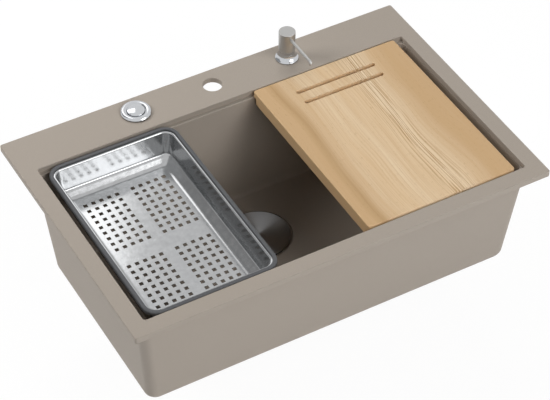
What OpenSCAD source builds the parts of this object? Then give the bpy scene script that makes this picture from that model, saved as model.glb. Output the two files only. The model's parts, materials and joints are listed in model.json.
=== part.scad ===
// Inset workstation kitchen sink in moulded granite composite, with the pieces that come with it.
// Millimetres, +Z up. The origin is the middle of the flange, on the plane of the worktop.
// The front of the sink faces -Y. The bowl hangs through the worktop, below z = 0.

/* [Flange] */
// Width of the flange, left to right
flange_w = 780; // [760:1:860]
// Depth of the flange, front to rear
flange_d = 510; // [500:1:560]
// Height of the flange above the worktop
flange_t = 11; // [10:0.5:16]
// Radius of the flange's outer corners
flange_r = 4; // [2:0.5:12]
// Width of the rim at the left and right of the opening
side_rim_w = 30.5; // [30:0.5:50]
// Width of the rim in front of the opening
front_rim_w = 30; // [30:0.5:50]
// Depth of the tap deck behind the opening
deck_d = 86; // [84:1:100]
// Width of the band of the flange that lies on the worktop
seat_w = 12; // [10:0.5:13]
// How far the underside is raised inside that band
seat_step = 1; // [0.5:0.25:1]

/* [Bowl] */
// Drop from the top of the flange to the ledges
ledge_drop = 10; // [8:0.5:10]
// Width of the front and rear ledges
ledge_w = 7; // [5:0.5:10]
// Depth of the bowl from the top of the flange to its floor
bowl_depth = 216; // [190:1:260]
// Thickness of the front, left and right walls
wall_t = 9; // [6:0.5:9]
// Thickness of the rear wall
rear_wall_t = 12; // [8:0.5:14]
// Thickness of the floor
floor_t = 9; // [7:0.5:14]
// How far each wall leans in over the height of the bowl
draft = 18; // [8:0.5:24]
// Radius of the bowl's corners and floor edge, inside
bowl_r = 12; // [8:1:20]
// Radius of the bowl's corners and floor edge, outside
shell_r = 18; // [10:1:26]
// Fall of the floor from its edges to the waste
floor_fall = 3; // [1:0.5:5]

/* [Deck holes] */
// Diameter of the tap hole and of the two holes beside it
deck_hole_d = 35; // [35:0.5:38]
// Distance between the holes
deck_hole_pitch = 150; // [120:1:180]
// Distance from the holes to the rear edge of the flange
deck_hole_inset = 38; // [36:0.5:42]

/* [Waste] */
// Position of the waste to the right of the bowl's middle
waste_x = -6; // [-20:1:20]
// Position of the waste behind the flange's middle
waste_y = 41; // [0:1:60]
// Diameter of the recess in the floor for the waste
waste_recess_d = 122; // [118:0.5:130]
// Depth of that recess
waste_recess_h = 3; // [2:0.25:4]
// Diameter of the hole through the floor
waste_hole_d = 90; // [89:0.5:92]
// Diameter of the steel waste flange
waste_flange_d = 114; // [112:0.5:116]
// Inside diameter of the waste's throat
throat_d = 84; // [80:0.5:85]
// Depth of the throat below its flange
throat_h = 24; // [20:1:34]
// Diameter of the cover over the waste
cover_d = 115; // [110:0.5:116]
// Thickness of pressed steel sheet in the waste
sheet_t = 1; // [0.8:0.1:1.2]
// Height that the strainer is lifted to open the waste
strainer_lift = 8; // [5:0.5:12]

/* [Waste pipes] */
// Outside diameter of the waste pipe
pipe_d = 40; // [38:0.5:42]
// Wall of the waste pipe
pipe_wall = 2; // [1.5:0.25:3]
// Reach of the waste pipe behind the waste
pipe_reach = 170; // [150:5:220]
// Drop of the waste pipe below its rear bend
pipe_drop = 60; // [45:5:120]
// Outside diameter of the overflow pipe
overflow_pipe_d = 22; // [20:0.5:24]
// Position of the overflow to the right of the middle
overflow_x = 250; // [220:5:290]
// Drop from the top of the flange to the overflow
overflow_drop = 46; // [40:1:60]
// Diameter of the hole for the overflow
overflow_hole_d = 26; // [24:0.5:30]

/* [Waste control knob] */
// Diameter of the polished ring
knob_ring_d = 55; // [50:0.5:60]
// Height of the ring above the flange
knob_ring_h = 6.2; // [4.5:0.1:8]
// Diameter of the push button
knob_d = 31; // [30.5:0.25:31]
// Distance that the button is pressed
knob_travel = 8; // [5:0.5:10]

/* [Soap dispenser] */
// Diameter of the flared foot
foot_d = 42; // [40:0.5:50]
// Height of the flared foot, to the underside of the head
foot_h = 20; // [17:0.5:26]
// Diameter of the pump head
head_d = 30; // [28:0.5:34]
// Height of the pump head
head_h = 39; // [36:0.5:50]
// Distance that the head is pressed
head_travel = 7; // [4:0.5:8]
// Reach of the spout from the middle of the head
spout_reach = 86; // [60:1:100]
// Diameter of the spout
spout_d = 5.5; // [5:0.25:8]
// Diameter of the soap bottle
bottle_d = 60; // [50:1:62]
// Height of the soap bottle
bottle_h = 170; // [120:5:200]

/* [Colander tray] */
// Width of the tray over its lip
tray_w = 242; // [200:1:250]
// Gap between the tray and the left end of the opening
tray_gap = 10.5; // [2:0.5:20]
// Width of the steel lip under its edging, from the edging's outside to the wall
tray_lip_w = 11.5; // [10:0.5:14]
// Height of the edging above the ledges
tray_lip_h = 7; // [6:0.5:9]
// Width of the soft edging round the lip
edging_w = 7.3; // [6:0.1:8]
// Height of the edging above the steel lip
edging_rise = 3; // [1:0.25:3]
// Depth of the tray below the top of its edging
tray_depth = 60; // [50:1:80]
// Radius of the tray's inside corners
tray_r = 16; // [14:1:22]
// How far the tray's upper walls lean in
tray_draft = 4; // [3:0.5:8]
// Height of the step at the foot of the walls
tray_step_h = 11; // [8:1:16]
// Width of that step, with its two slopes
tray_step_w = 15; // [10:1:20]
// Spacing of the square holes in the floor
hole_pitch = 14.85; // [14:0.05:17]
// Side of one square hole
hole_side = 7; // [5:0.25:8]
// How far the pattern of holes lies in front of the tray's middle
hole_shift = 3; // [0:0.5:4]

/* [Chopping board] */
// Width of the board
board_w = 288; // [240:1:300]
// Gap between the board and the right end of the opening
board_gap = 18.5; // [2:0.5:24]
// Thickness of the board
board_t = 24; // [18:0.5:30]
// Height of the board above the flange
board_proud = 1; // [0:0.5:3]
// Radius of the board's corners
board_r = 5; // [2:0.5:10]
// Length of the two slots
slot_l = 160; // [100:5:200]
// Width of the two slots
slot_w = 8; // [6:0.5:12]
// Distance from the board's rear edge to the first slot
slot_inset = 41; // [30:1:60]
// Distance between the slots
slot_pitch = 29; // [20:1:40]

/* [Clearances] */
// Gap between the tray or board and the rim, at the front and rear
rest_gap = 3; // [2:0.5:4]
// Radial gap of a fixed round fit
fixed_gap = 0.05; // [0.03:0.01:0.1]
// Radial gap of a shaft that slides or turns in its own bore
running_gap = 0.08; // [0.05:0.01:0.1]
// Gap between other surfaces that pass each other
free_gap = 0.3; // [0.2:0.05:0.5]
// Thickness of the flat gaskets
gasket_t = 1; // [0.8:0.1:1.5]

/* [Hidden] */
$fn = 64;
// Facets round the corners of the drafted shells
corner_fn = 32;
// Overrun that keeps a cut from ending on the face it cuts
bite = 1;

granite = "#a59b90";
steel = "#b9bbbd";
polished = "#d5d7d9";
rubber = "#2b2b2c";
black_plastic = "#37383a";
white_plastic = "#dcdcd8";
wood = "#d9ba92";
edging_grey = "#57585a";

// Opening and bowl
rim_x = flange_w / 2 - side_rim_w;
rim_y0 = -flange_d / 2 + front_rim_w;
rim_y1 = flange_d / 2 - deck_d;
rim_mid_y = (rim_y0 + rim_y1) / 2;
rim_r = 4;
ledge_z = flange_t - ledge_drop;
bowl_top = ledge_z - bite;
bowl_y0 = rim_y0 + ledge_w;
bowl_y1 = rim_y1 - ledge_w;
floor_z = flange_t - bowl_depth;
floor_edge_z = floor_z + floor_fall;
shell_top = seat_step;
shell_z = floor_z - floor_t;
shell_x = rim_x + wall_t;
shell_y0 = bowl_y0 - wall_t;
shell_y1 = bowl_y1 + rear_wall_t;
shell_reach = [draft + shell_r, shell_top - shell_z - shell_r];
lean = atan2(shell_reach.x, shell_reach.y) - asin(shell_r / norm(shell_reach));
bowl_inset = (bowl_top - floor_edge_z - bowl_r) * tan(lean) + bowl_r / cos(lean);
hole_y = flange_d / 2 - deck_hole_inset;
knob_x = -deck_hole_pitch;
dispenser_x = deck_hole_pitch;
seal_edge = 3;
seal_w = 6;
seal_t = 1.5;
waste_pad = 4;

// Waste, downwards from the floor of the bowl
recess_z = floor_z - waste_recess_h;
flange_z = recess_z + gasket_t;
throat_r = throat_d / 2;
strain_z = flange_z - throat_h;
hub_top = strain_z - sheet_t;
bolt_head_r = 9.5;
bolt_head_h = 3;
bolt_r = 6;
bolt_l = 22;
pin_r = 3.1;
body_gasket_t = 2;
body_z = shell_z - body_gasket_t;
body_r = waste_flange_d / 2 + 2;
body_flange_t = 4;
cup_r = 49;
cup_wall = 3;
cup_in_r = cup_r - cup_wall;
cup_h = throat_h + 22;
cup_z = body_z - cup_h;
drain_ring_r = 19;
drain_d = 7;
drain_count = 10;
pin_hub_r = 11;
guide_h = 34;
guide_r = 8;
guide_flange_r = 14;
guide_flange_t = 3;
guide_nut_h = 8;
pin_tail = guide_h - 6;
cable_r = 1.6;
seal_r0 = 26;
seal_r1 = 33;
basket_z = strain_z + bolt_head_h;
basket_r = throat_r - 1;
basket_t = 0.8;
basket_slots = 24;
cover_z = floor_z + 3;
cover_skirt = 2.2;
cover_stem_r = 4;
cover_hub_r = 9;

// Waste pipes
pipe_r = pipe_d / 2;
pipe_in_r = pipe_r - pipe_wall;
socket_r = pipe_r + 2.5;
socket_l = 14;
thread_r = pipe_r + 4.5;
outlet_drop = 26;
outlet_z = body_z - outlet_drop;
spigot_l = 34;
spigot_x = cup_in_r + spigot_l;
outlet_seal_t = 3;
outlet_piece_l = 30;
outlet_stop = 6;
nut_r = pipe_r + 7.5;
nut_h = 16;
nut_cheek = 3;
nut_bevel = 2;
bend_r = 34;
bend_x = pipe_reach - bend_r + socket_l;
tail_x = bend_x + bend_r;
tail_top = -bend_r - 0.5;
tail_cheek = nut_cheek + 4;
tail_nut_z = -bend_r - socket_l - tail_cheek;
mark_drop = 2;
mark_w = 1.5;
mark_depth = 0.5;

// Overflow
op_r = overflow_pipe_d / 2;
op_in_r = op_r - 1.5;
op_socket_r = op_r + 2;
op_socket_l = 10;
op_nut_r = op_r + 6;
op_nut_h = 13;
op_collar_l = 12;
op_z = body_z - 22;
op_bend_r = 22;
overflow_z = flange_t - overflow_drop;
overflow_r = overflow_hole_d / 2;
overflow_y = bowl_y1 - (bowl_top - overflow_z) * tan(lean);
rear_wall_out = (shell_y1 - bowl_y1 - (shell_top - bowl_top) * tan(lean)) * cos(lean);
plate_r = overflow_r + 4;
plate_t = 1.6;
screw_r = 2.5;
elbow_r = 15;
elbow_wall = 3;
elbow_l = 24;
elbow_flange_r = overflow_r + 8;
elbow_gasket_t = 2;
elbow_y = rear_wall_out + elbow_gasket_t;
elbow_axis = elbow_y + 16;
drop_y = overflow_y + elbow_axis * cos(lean);
drop_z = overflow_z - elbow_axis * sin(lean);
elbow_drop = 40;
drop_spigot_z = drop_z - elbow_drop;
run_angle = atan2(drop_y - waste_y, overflow_x - waste_x);
run_l = norm([drop_y - waste_y, overflow_x - waste_x]);
port_l = 76;

// Knob
sleeve_r = deck_hole_d / 2 - free_gap;
sleeve_in_r = knob_d / 2 + free_gap;
sleeve_z = -30;
knob_z = flange_t + gasket_t;
knob_skirt_z = 4;
plunger_r = 4;
knob_house_r = 20.5;
knob_house_top = -16;
knob_house_z = -58;
knob_floor_t = 5;
washer_t = 1.5;
washer_r = 23.5;
deck_nut_r = 26;
deck_nut_h = 7;
gland_r = 7;
gland_h = 16;

// Dispenser
foot_z = flange_t + gasket_t;
neck_z = foot_z + foot_h;
head_skirt_r = head_d / 2 - 0.6;
neck_r = head_skirt_r - free_gap;
neck_top = neck_z + 7;
foot_top = neck_z - head_travel - 0.6;
collar_spigot_h = 6;
shank_r = 13.5;
shank_in_r = 11;
collar_r = 12.5;
shank_z = -45;
head_hollow = 19;
head_in_z = neck_z + head_hollow;
stem_r = 3.5;
stem_socket = 6;
pump_r = 8;
pump_in_r = 7;
pump_z = -22;
pump_flange_t = 2;
dip_r = 3;
dip_in_r = 2.2;
dip_z = -150;
piston_z = 4;
piston_h = 6;
spout_z = neck_z + head_h - 10;
spout_start = head_d / 2 - 6;
spout_bend_r = 5;
spout_r = spout_d / 2;
spout_in_r = spout_r - 0.8;
bottle_wall = 1.5;
bottle_neck_r = shank_r + bottle_wall + fixed_gap;
bottle_top = -20;
bottle_neck_h = 22;
bottle_shoulder = 16;

// Tray
rest_d = rim_y1 - rim_y0 - 2 * rest_gap;
tray_x = -rim_x + tray_gap + tray_w / 2;
tray_t = 1;
tray_z = ledge_z + tray_lip_h;
tray_in_w = tray_w - 2 * tray_lip_w;
tray_in_d = rest_d - 2 * tray_lip_w;
tray_lip_r = tray_r + tray_lip_w;
tray_floor_z = tray_z - tray_depth;
tray_step_z = tray_floor_z + tray_step_h;
edging_wall = 1.5;
edging_fit = 0.2;
lip_z = tray_z - edging_rise;
shelf_in = 4;
shelf_drop = 2;
tray_foot_r = 10;
hole_room_w = tray_in_w / 2 - tray_draft - tray_step_w - hole_side;
hole_room_d = tray_in_d / 2 - tray_draft - tray_step_w - hole_side - hole_shift;
hole_cols = floor(hole_room_w / hole_pitch);
hole_rows = floor(hole_room_d / hole_pitch - 0.5);

// Board
board_x = rim_x - board_gap - board_w / 2;
board_top = flange_t + board_proud;
board_low = board_top - board_t;
tongue_d = bowl_y1 - bowl_y0 - 2 * rest_gap;
slot_y = rest_d / 2 - slot_inset;

// A rectangle with round corners, centred on the origin.
module rounded_rect(w, d, r) {
    square([w - 2 * r, d], center = true);
    square([w, d - 2 * r], center = true);
    for (sx = [-1, 1])
        for (sy = [-1, 1])
            translate([sx * (w / 2 - r), sy * (d / 2 - r)]) circle(r);
}

// A slab of such a rectangle, from its lowest z.
module slab(w, d, r, z, h) {
    translate([0, 0, z]) linear_extrude(h) rounded_rect(w, d, r);
}

// A round bar, from its lowest z.
module bar(r, z, h) {
    translate([0, 0, z]) cylinder(r = r, h = h);
}

// A bar with six flats, from its lowest z.
module hex_bar(r, z, h) {
    translate([0, 0, z]) cylinder(r = r, h = h, $fn = 6);
}

// A ring or tube, from its lowest z.
module tube(r, bore, z, h) {
    difference() {
        bar(r, z, h);
        bar(bore, z - bite, h + 2 * bite);
    }
}

// A round bar along +X, from its lowest x.
module x_bar(r, x, l) {
    translate([x, 0, 0]) rotate([0, 90, 0]) cylinder(r = r, h = l);
}

// A tube along +X, from its lowest x.
module x_tube(r, bore, x, l) {
    difference() {
        x_bar(r, x, l);
        x_bar(bore, x - bite, l + 2 * bite);
    }
}

// A round bar along +Y, from its lowest y.
module y_bar(r, y, l) {
    translate([0, y, 0]) rotate([-90, 0, 0]) cylinder(r = r, h = l);
}

// A coupling nut that stands on its cheek: a narrow bore through the cheek, a wide one above.
module coupling_nut(r, h, cheek, cheek_bore, bore) {
    difference() {
        union() {
            bar(r - nut_bevel, 0, h);
            translate([0, 0, nut_bevel]) cylinder(r = r, h = h - 2 * nut_bevel, $fn = 8);
        }
        bar(cheek_bore, -bite, h);
        bar(bore, cheek, h);
    }
}

// A quarter bend of tube in the XZ plane, round a centre at the origin.
module quarter_bend(r, bore, bend, from) {
    rotate([90, 0, 0]) rotate(from) rotate_extrude(angle = 90) translate([bend, 0]) difference() {
        circle(r);
        circle(bore);
    }
}

// Places: the waste, its outlet as a local X axis, and the run to the overflow as another.
module at_waste() {
    translate([waste_x, waste_y, 0]) children();
}

module at_outlet() {
    translate([waste_x, waste_y, outlet_z]) rotate(90) children();
}

module at_overflow_run() {
    translate([waste_x, waste_y, op_z]) rotate(run_angle) children();
}

// The overflow: its local Y axis runs out through the leaning rear wall.
module at_overflow() {
    translate([overflow_x, overflow_y, overflow_z]) rotate([-lean, 0, 0]) children();
}

module at_drop() {
    translate([overflow_x, drop_y, 0]) children();
}

module at_knob() {
    translate([knob_x, hole_y, 0]) children();
}

module at_dispenser() {
    translate([dispenser_x, hole_y, 0]) children();
}

// The four round upper corners of a drafted tub, as upright bars.
module tub_corners(x, y0, y1, r, z, h) {
    for (sx = [-1, 1])
        for (y = [y0 + r, y1 - r])
            translate([sx * (x - r), y, z]) cylinder(r = r, h = h, $fn = corner_fn);
}

// The four round lower corners, as balls set in from the upper edge.
module tub_feet(x, y0, y1, inset, r, z) {
    for (sx = [-1, 1])
        for (y = [y0 + inset, y1 - inset])
            translate([sx * (x - inset), y, z + r]) sphere(r, $fn = corner_fn);
}

module bowl_shell() {
    hull() {
        tub_corners(shell_x, shell_y0, shell_y1, shell_r, shell_top, bite);
        tub_feet(shell_x, shell_y0, shell_y1, draft + shell_r, shell_r, shell_z);
    }
}

// The space in the bowl, with a floor that falls to the waste.
module bowl_space() {
    hull() {
        tub_corners(rim_x, bowl_y0, bowl_y1, bowl_r, bowl_top, 2 * bite);
        tub_feet(rim_x, bowl_y0, bowl_y1, bowl_inset, bowl_r, floor_edge_z);
        translate([waste_x, waste_y, floor_z])
            cylinder(r = waste_recess_d / 2 + waste_pad, h = bite, $fn = corner_fn);
    }
}

module seat_ring(inset, w, z, h) {
    difference() {
        slab(flange_w - 2 * inset, flange_d - 2 * inset, flange_r, z, h);
        slab(flange_w - 2 * (inset + w), flange_d - 2 * (inset + w), flange_r, z - bite, h + 2 * bite);
    }
}

module flange_plate() {
    difference() {
        slab(flange_w, flange_d, flange_r, 0, flange_t);
        slab(flange_w - 2 * seat_w, flange_d - 2 * seat_w, flange_r, -bite, bite + seat_step);
        seat_ring(seal_edge, seal_w, -bite, bite + seal_t);
    }
}

module sink_bowl() {
    color(granite) difference() {
        union() {
            flange_plate();
            bowl_shell();
            at_waste() bar(body_r, shell_z, floor_t);
        }
        bowl_space();
        translate([0, rim_mid_y]) slab(2 * rim_x, rim_y1 - rim_y0, rim_r, ledge_z, ledge_drop + bite);
        for (x = [knob_x, 0, dispenser_x])
            translate([x, hole_y]) bar(deck_hole_d / 2, 0, flange_t + bite);
        at_waste() bar(waste_recess_d / 2, recess_z, waste_recess_h + bite);
        at_waste() bar(waste_hole_d / 2, shell_z - bite, floor_t + bite);
        at_overflow() y_bar(overflow_r, -rear_wall_t, 3 * rear_wall_t);
    }
}

module flange_seal() {
    color(rubber) seat_ring(seal_edge, seal_w, 0, seal_t);
}

module waste_top_gasket() {
    color(rubber) at_waste() tube(waste_flange_d / 2 - 1, waste_hole_d / 2 + 1, recess_z, gasket_t);
}

// A pressed cup with a flat rim and a pierced floor.
module waste_flange() {
    lead = 2;
    rim_top = flange_z + sheet_t;
    color(polished) at_waste() difference() {
        rotate_extrude() polygon([
            [waste_flange_d / 2, flange_z],
            [waste_flange_d / 2, rim_top],
            [throat_r + lead, rim_top],
            [throat_r, rim_top - lead],
            [throat_r, strain_z],
            [0, strain_z],
            [0, hub_top],
            [throat_r + sheet_t, hub_top],
            [throat_r + sheet_t, rim_top - lead],
            [throat_r + lead, flange_z]
        ]);
        bar(bolt_r + fixed_gap, hub_top - bite, sheet_t + 2 * bite);
        for (i = [0:drain_count - 1])
            rotate(i * 360 / drain_count)
                translate([drain_ring_r, 0]) bar(drain_d / 2, hub_top - bite, sheet_t + 2 * bite);
    }
}

module waste_lower_gasket() {
    color(rubber) at_waste() tube(body_r, waste_hole_d / 2 + 1, body_z, body_gasket_t);
}

// A low cup with a hub for the bolt, an outlet to the rear and a port for the overflow.
module waste_body() {
    color(black_plastic) difference() {
        union() {
            at_waste() bar(body_r, body_z - body_flange_t, body_flange_t);
            at_waste() bar(cup_r, cup_z, cup_h);
            at_outlet() x_bar(pipe_r, 0, spigot_x);
            at_outlet() x_bar(thread_r, spigot_x - nut_h - 2, nut_h + 2);
            at_overflow_run() x_bar(op_r, 0, port_l);
            at_overflow_run() x_bar(op_socket_r, port_l - op_collar_l, op_collar_l);
        }
        difference() {
            union() {
                at_waste() bar(cup_in_r, cup_z + cup_wall, cup_h);
                at_outlet() x_bar(pipe_in_r, 0, spigot_x + bite);
                at_overflow_run() x_bar(op_in_r, 0, port_l + bite);
            }
            at_waste() bar(pin_hub_r, cup_z, hub_top - cup_z);
        }
        at_waste() bar(bolt_r + fixed_gap, cup_z - bite, cup_h);
    }
}

module waste_bolt() {
    color(polished) at_waste() difference() {
        union() {
            bar(bolt_head_r, strain_z, bolt_head_h);
            bar(bolt_r, strain_z - bolt_l, bolt_l);
        }
        bar(pin_r + running_gap, strain_z - bolt_l - bite, bolt_l + bolt_head_h + 2 * bite);
        hex_bar(4.5, basket_z - 1.2, 1.2 + bite);
    }
}

// The guide under the waste body: the lift pin slides in it and the control cable enters its foot.
module lift_guide() {
    color(black_plastic) at_waste() difference() {
        union() {
            bar(guide_flange_r, cup_z - guide_flange_t, guide_flange_t);
            bar(guide_r, cup_z - guide_h, guide_h);
            bar(bolt_r, cup_z, cup_wall + 4);
        }
        bar(pin_r + running_gap, cup_z - pin_tail, pin_tail + cup_wall + 5);
        bar(cable_r, cup_z - guide_h - bite, guide_h);
    }
}

module lift_guide_nut() {
    low = cup_z - guide_h + 2;
    color(steel) at_waste() difference() {
        hex_bar(12, low, guide_nut_h);
        bar(guide_r + fixed_gap, low - bite, guide_nut_h + 2 * bite);
    }
}

module lift_pin() {
    low = cup_z - pin_tail + 2;
    color(steel) at_waste() bar(pin_r, low, basket_z - low);
}

// A shallow pressed basket: its slotted wall lets water out under the seal when it is lifted.
module strainer_basket() {
    z = basket_z;
    rim = flange_z - 1.6;
    low_r = seal_r1 + 1;
    color(steel) at_waste() difference() {
        union() {
            rotate_extrude() polygon([
                [0, z],
                [low_r, z],
                [basket_r, rim - basket_t],
                [basket_r, rim],
                [basket_r - 2.5, rim],
                [low_r - 0.8, z + basket_t],
                [0, z + basket_t]
            ]);
            bar(6, z, 5);
            bar(cover_stem_r, z, cover_z - 2 - z);
        }
        for (i = [0:basket_slots - 1])
            rotate(i * 360 / basket_slots)
                translate([basket_r - 4, 0, (z + rim) / 2]) cube([12, 3, throat_h - 14], center = true);
    }
}

module strainer_seal() {
    color(rubber) at_waste() tube(seal_r1, seal_r0, strain_z, bolt_head_h);
}

// A slightly dished disc with a turned-down edge, pushed onto the strainer's stem.
module waste_cover() {
    r = cover_d / 2;
    t = sheet_t;
    z = cover_z;
    dish = 0.6;
    color(steel) at_waste() difference() {
        rotate_extrude() polygon([
            [0, z - dish],
            [r - 10, z],
            [r - 2, z],
            [r - 0.5, z - 0.5],
            [r, z - 1.6],
            [r, z - cover_skirt],
            [r - t, z - cover_skirt],
            [r - t, z - 2],
            [r - 2.4, z - t],
            [r - 10, z - t],
            [cover_hub_r, z - dish - t],
            [cover_hub_r, z - 7],
            [0, z - 7]
        ]);
        bar(cover_stem_r + fixed_gap, z - 8, 6);
    }
}

module outlet_nut() {
    far = spigot_x + outlet_seal_t + nut_cheek;
    color(white_plastic) at_outlet() translate([far, 0, 0]) rotate([0, -90, 0])
        coupling_nut(nut_r, nut_h, nut_cheek, socket_r + fixed_gap, thread_r + fixed_gap);
}

module outlet_seal() {
    color(rubber) at_outlet() x_tube(thread_r - free_gap, pipe_in_r, spigot_x, outlet_seal_t);
}

// A straight piece behind the waste with a socket for the pipe.
module outlet_socket() {
    x = spigot_x + outlet_seal_t;
    color(white_plastic) at_outlet() difference() {
        x_bar(socket_r, x, outlet_piece_l);
        x_bar(pipe_in_r, x - bite, outlet_piece_l);
        x_bar(pipe_r + fixed_gap, x + outlet_stop, outlet_piece_l);
    }
}

module outlet_pipe() {
    x = spigot_x + outlet_seal_t + outlet_stop;
    color(white_plastic) at_outlet() x_tube(pipe_r, pipe_in_r, x, bend_x - x);
}

module outlet_bend() {
    color(white_plastic) at_outlet() {
        translate([bend_x, 0, -bend_r]) quarter_bend(socket_r, pipe_in_r, bend_r, 0);
        x_tube(socket_r, pipe_r + fixed_gap, bend_x - socket_l, socket_l);
        translate([tail_x, 0, 0]) tube(socket_r, pipe_r + fixed_gap, -bend_r - socket_l, socket_l);
    }
}

module outlet_tail_nut() {
    color(white_plastic) at_outlet() translate([tail_x, 0, tail_nut_z])
        coupling_nut(nut_r, nut_h, tail_cheek, pipe_r + fixed_gap, socket_r + fixed_gap);
}

// The tail pipe, with a groove below its nut that marks how far a trap's socket goes on.
module outlet_tail_pipe() {
    color(white_plastic) at_outlet() translate([tail_x, 0, 0]) difference() {
        tube(pipe_r, pipe_in_r, tail_top - pipe_drop, pipe_drop);
        tube(pipe_r + bite, pipe_r - mark_depth, tail_nut_z - mark_drop - mark_w, mark_w);
    }
}

// The plate in the bowl over the overflow, with a short sleeve into the wall.
module overflow_plate() {
    color(polished) at_overflow() difference() {
        union() {
            y_bar(plate_r, -plate_t, plate_t);
            y_bar(overflow_r - free_gap, 0, 6);
        }
        y_bar(overflow_r - 2, 0, 7);
        y_bar(screw_r + fixed_gap, -plate_t - bite, 6);
        for (z = [-7, 7])
            translate([0, -plate_t / 2, z]) cube([12, 2 * plate_t, 3.2], center = true);
        for (x = [-8.5, 8.5])
            translate([x, -plate_t / 2, 0]) cube([3.2, 2 * plate_t, 6], center = true);
    }
}

module overflow_screw() {
    head_h = 1.8;
    color(polished) at_overflow() {
        y_bar(4.8, -plate_t - head_h, head_h);
        y_bar(screw_r, -plate_t, elbow_axis - 4 + plate_t);
    }
}

module overflow_gasket() {
    color(rubber) at_overflow() difference() {
        y_bar(elbow_flange_r, rear_wall_out, elbow_gasket_t);
        y_bar(overflow_r, rear_wall_out - bite, elbow_gasket_t + 2 * bite);
    }
}

// A round body behind the wall with a boss for the screw and a spigot pointing down.
module overflow_elbow() {
    color(black_plastic) difference() {
        union() {
            at_overflow() y_bar(elbow_flange_r, elbow_y, elbow_wall);
            at_overflow() y_bar(elbow_r, elbow_y, elbow_l);
            at_drop() bar(op_r, drop_spigot_z, drop_z - drop_spigot_z);
            at_drop() bar(op_socket_r, drop_spigot_z, op_collar_l);
        }
        at_overflow() difference() {
            y_bar(elbow_r - elbow_wall, elbow_y - bite, elbow_l - elbow_wall + bite);
            y_bar(5, elbow_axis - 6, elbow_l);
        }
        at_drop() bar(op_in_r, drop_spigot_z - bite, drop_z - drop_spigot_z - 5);
        at_overflow() y_bar(screw_r + fixed_gap, 0, elbow_axis - 3);
    }
}

module overflow_upper_nut() {
    color(white_plastic) at_drop() translate([0, 0, drop_spigot_z - nut_cheek - 1])
        coupling_nut(op_nut_r, op_nut_h, nut_cheek + 1, op_r + fixed_gap, op_socket_r + fixed_gap);
}

module overflow_down_pipe() {
    low = op_z + op_bend_r;
    color(white_plastic) at_drop() tube(op_r, op_in_r, low, drop_spigot_z - 0.5 - low);
}

module overflow_bend() {
    color(white_plastic) at_overflow_run() {
        translate([run_l - op_bend_r, 0, op_bend_r]) quarter_bend(op_socket_r, op_in_r, op_bend_r, -90);
        translate([run_l, 0, 0]) tube(op_socket_r, op_r + fixed_gap, op_bend_r, op_socket_l);
        x_tube(op_socket_r, op_r + fixed_gap, run_l - op_bend_r - op_socket_l, op_socket_l);
    }
}

module overflow_cross_pipe() {
    x = port_l + 0.5;
    color(white_plastic) at_overflow_run() x_tube(op_r, op_in_r, x, run_l - op_bend_r - x);
}

module overflow_lower_nut() {
    far = port_l + nut_cheek + 1;
    color(white_plastic) at_overflow_run() translate([far, 0, 0]) rotate([0, -90, 0])
        coupling_nut(op_nut_r, op_nut_h, nut_cheek + 1, op_r + fixed_gap, op_socket_r + fixed_gap);
}

// A washer and a six-sided nut that clamp a threaded sleeve under the deck.
module deck_washer(bore) {
    tube(washer_r, bore, seat_step - washer_t, washer_t);
}

module deck_nut(bore) {
    low = seat_step - washer_t - deck_nut_h;
    difference() {
        hex_bar(deck_nut_r, low, deck_nut_h);
        bar(bore, low - bite, deck_nut_h + 2 * bite);
    }
}

module knob_gasket() {
    color(rubber) at_knob() tube(knob_ring_d / 2 - 1, deck_hole_d / 2 + 0.5, flange_t, gasket_t);
}

// A convex ring round the button, on a threaded sleeve through the deck.
module knob_ring() {
    r = knob_ring_d / 2;
    z = knob_z;
    h = knob_ring_h - gasket_t;
    color(polished) at_knob() difference() {
        union() {
            rotate_extrude() polygon([
                [0, z],
                [r - 0.8, z],
                [r - 0.1, z + 0.1 * h],
                [r, z + 0.22 * h],
                [r - 0.3, z + 0.46 * h],
                [r - 1.3, z + 0.68 * h],
                [r - 3, z + 0.86 * h],
                [r - 5, z + 0.97 * h],
                [r - 6.8, z + h],
                [r - 8.6, z + 0.97 * h],
                [r - 10, z + 0.86 * h],
                [r - 11, z + 0.68 * h],
                [0, z + 0.5 * h]
            ]);
            bar(sleeve_r, sleeve_z, z - sleeve_z + bite);
        }
        bar(sleeve_in_r, sleeve_z - bite, z - sleeve_z + knob_ring_h + bite);
    }
}

module knob_washer() {
    color(rubber) at_knob() deck_washer(sleeve_r + fixed_gap);
}

module knob_nut() {
    color(steel) at_knob() deck_nut(sleeve_r + fixed_gap);
}

// A cup screwed onto the sleeve: it holds the spring and carries the cable gland.
module knob_housing() {
    color(black_plastic) at_knob() difference() {
        union() {
            bar(knob_house_r, knob_house_z, knob_house_top - knob_house_z);
            translate([0, 0, knob_house_z + 6]) cylinder(r = knob_house_r + 1.2, h = 12, $fn = 16);
        }
        bar(sleeve_r + fixed_gap, sleeve_z, knob_house_top - sleeve_z + bite);
        bar(sleeve_in_r, knob_house_z + knob_floor_t, -knob_house_z);
        bar(plunger_r + running_gap, knob_house_z - bite, knob_floor_t + 2 * bite);
    }
}

module knob_cable_gland() {
    color(steel) at_knob() difference() {
        union() {
            hex_bar(gland_r + 4, knob_house_z - 5, 5);
            bar(gland_r, knob_house_z - gland_h, gland_h);
        }
        bar(plunger_r + free_gap, knob_house_z - 12, 12 + bite);
        bar(cable_r, knob_house_z - gland_h - bite, gland_h);
    }
}

// A round button with a domed top.
module knob_button() {
    r = knob_d / 2;
    dome = 2.6;
    rim = flange_t + knob_ring_h - 0.8;
    dome_r = (r * r + dome * dome) / (2 * dome);
    color(polished) at_knob() intersection() {
        bar(r, knob_skirt_z, rim + dome - knob_skirt_z + bite);
        translate([0, 0, rim + dome - dome_r]) sphere(dome_r);
    }
}

module knob_plunger() {
    low = knob_house_z + 1;
    color(steel) at_knob() bar(plunger_r, low, knob_skirt_z - low);
}

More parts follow.
